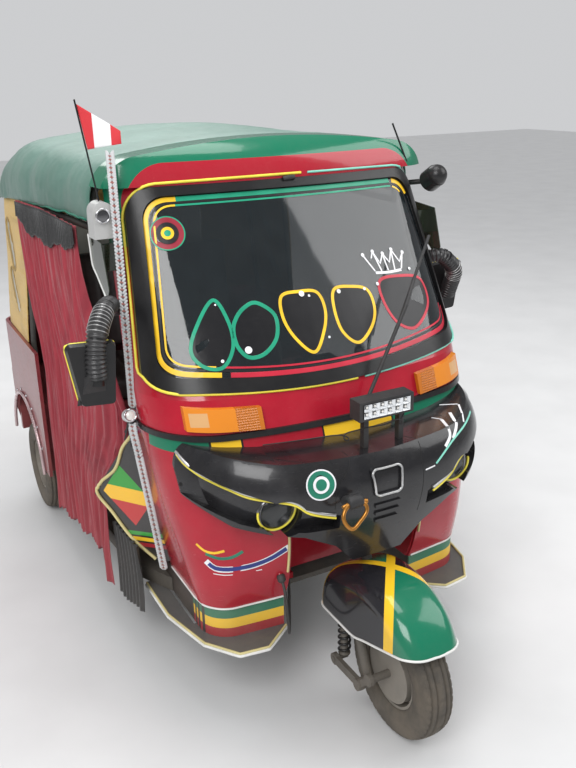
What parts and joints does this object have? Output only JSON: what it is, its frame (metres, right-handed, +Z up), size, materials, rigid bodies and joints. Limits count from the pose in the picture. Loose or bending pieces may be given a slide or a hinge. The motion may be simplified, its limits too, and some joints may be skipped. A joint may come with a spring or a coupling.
{
  "type": "auto rickshaw",
  "caption": "Three-wheeled passenger taxi with a red steel cab, a green soft hood, a door curtain and a steered front wheel.",
  "frame": {"origin": "on the ground under the middle of the vehicle's length and width", "axes": "+Y to the rear, +X to the vehicle's left, +Z up; the front wheel is at -Y"},
  "size_m": [1.5374, 2.556, 1.8224],
  "materials": {
    "red_paint": "gloss",
    "maroon_paint": "gloss",
    "black_trim": "gloss",
    "matte_black": "matte",
    "green_vinyl": "satin",
    "green_paint": "gloss",
    "gold_canvas": "matte",
    "crimson_cloth": "matte",
    "braid_cloth": "matte",
    "flag_cloth": "matte",
    "seat_cover": "satin",
    "clear_glass": "polished",
    "amber_lens": "polished",
    "red_lens": "polished",
    "mirror_glass": "polished",
    "rubber": "matte",
    "tyre_rubber": "matte",
    "wheel_steel": "satin",
    "frame_steel": "satin",
    "cast_engine": "rough",
    "chrome": "polished",
    "brass": "polished"
  },
  "bodies": {
    "body": {"cable_loop": "frame_steel", "chassis": "frame_steel", "curtain_right": "crimson_cloth", "dashboard": "matte_black", "driver_seat": "seat_cover", "engine_block": "cast_engine", "flag": "flag_cloth", "front_cowl": "red_paint", "front_mask": "black_trim", "headlamps": "clear_glass", "lamp_bar": "matte_black", "mirror_glasses": "mirror_glass", "mirrors": "matte_black", "passenger_seat": "seat_cover", "quarter_canvas": "gold_canvas", "quarter_windows": "clear_glass", "rear_bumper": "chrome", "rear_suspension": "frame_steel", "rear_tub": "maroon_paint", "roof_frame": "frame_steel", "roof_header": "green_paint", "roof_hood": "green_vinyl", "seat_boxes": "red_paint", "side_lamps": "chrome", "side_wings": "matte_black", "step_boards": "frame_steel", "strap_right": "braid_cloth", "tail_lamps": "red_lens", "tow_eye": "brass", "turn_lamps": "amber_lens", "wheel_well": "red_paint", "whips": "rubber", "wind_deflectors": "clear_glass", "windshield_frame": "red_paint", "windshield_glass": "clear_glass", "windshield_seal": "rubber", "wiper": "matte_black"},
    "steering": {"fork": "frame_steel", "front_spring": "frame_steel", "handlebar": "frame_steel", "mudguard": "green_paint"},
    "wheel_front": {"rim_front": "wheel_steel", "tyre_front": "tyre_rubber"},
    "wheel_rear_right": {"rim_rear_right": "wheel_steel", "tyre_rear_right": "tyre_rubber"},
    "wheel_rear_left": {"rim_rear_left": "wheel_steel", "tyre_rear_left": "tyre_rubber"}
  },
  "joints": [
    {"name": "steering", "type": "hinge", "parent": "body", "child": "steering", "pos_m": [0, -0.87524, 0.5], "axis": [0, 0.454, 0.891], "range_deg": [-35, 35]},
    {"name": "front_wheel", "type": "hinge", "parent": "steering", "child": "wheel_front", "pos_m": [0, -1.075, 0.203], "axis": [1, 0, 0], "continuous": true},
    {"name": "rear_wheel_right", "type": "hinge", "parent": "body", "child": "wheel_rear_right", "pos_m": [-0.575, 0.925, 0.203], "axis": [1, 0, 0], "continuous": true},
    {"name": "rear_wheel_left", "type": "hinge", "parent": "body", "child": "wheel_rear_left", "pos_m": [0.575, 0.925, 0.203], "axis": [1, 0, 0], "continuous": true}
  ]
}
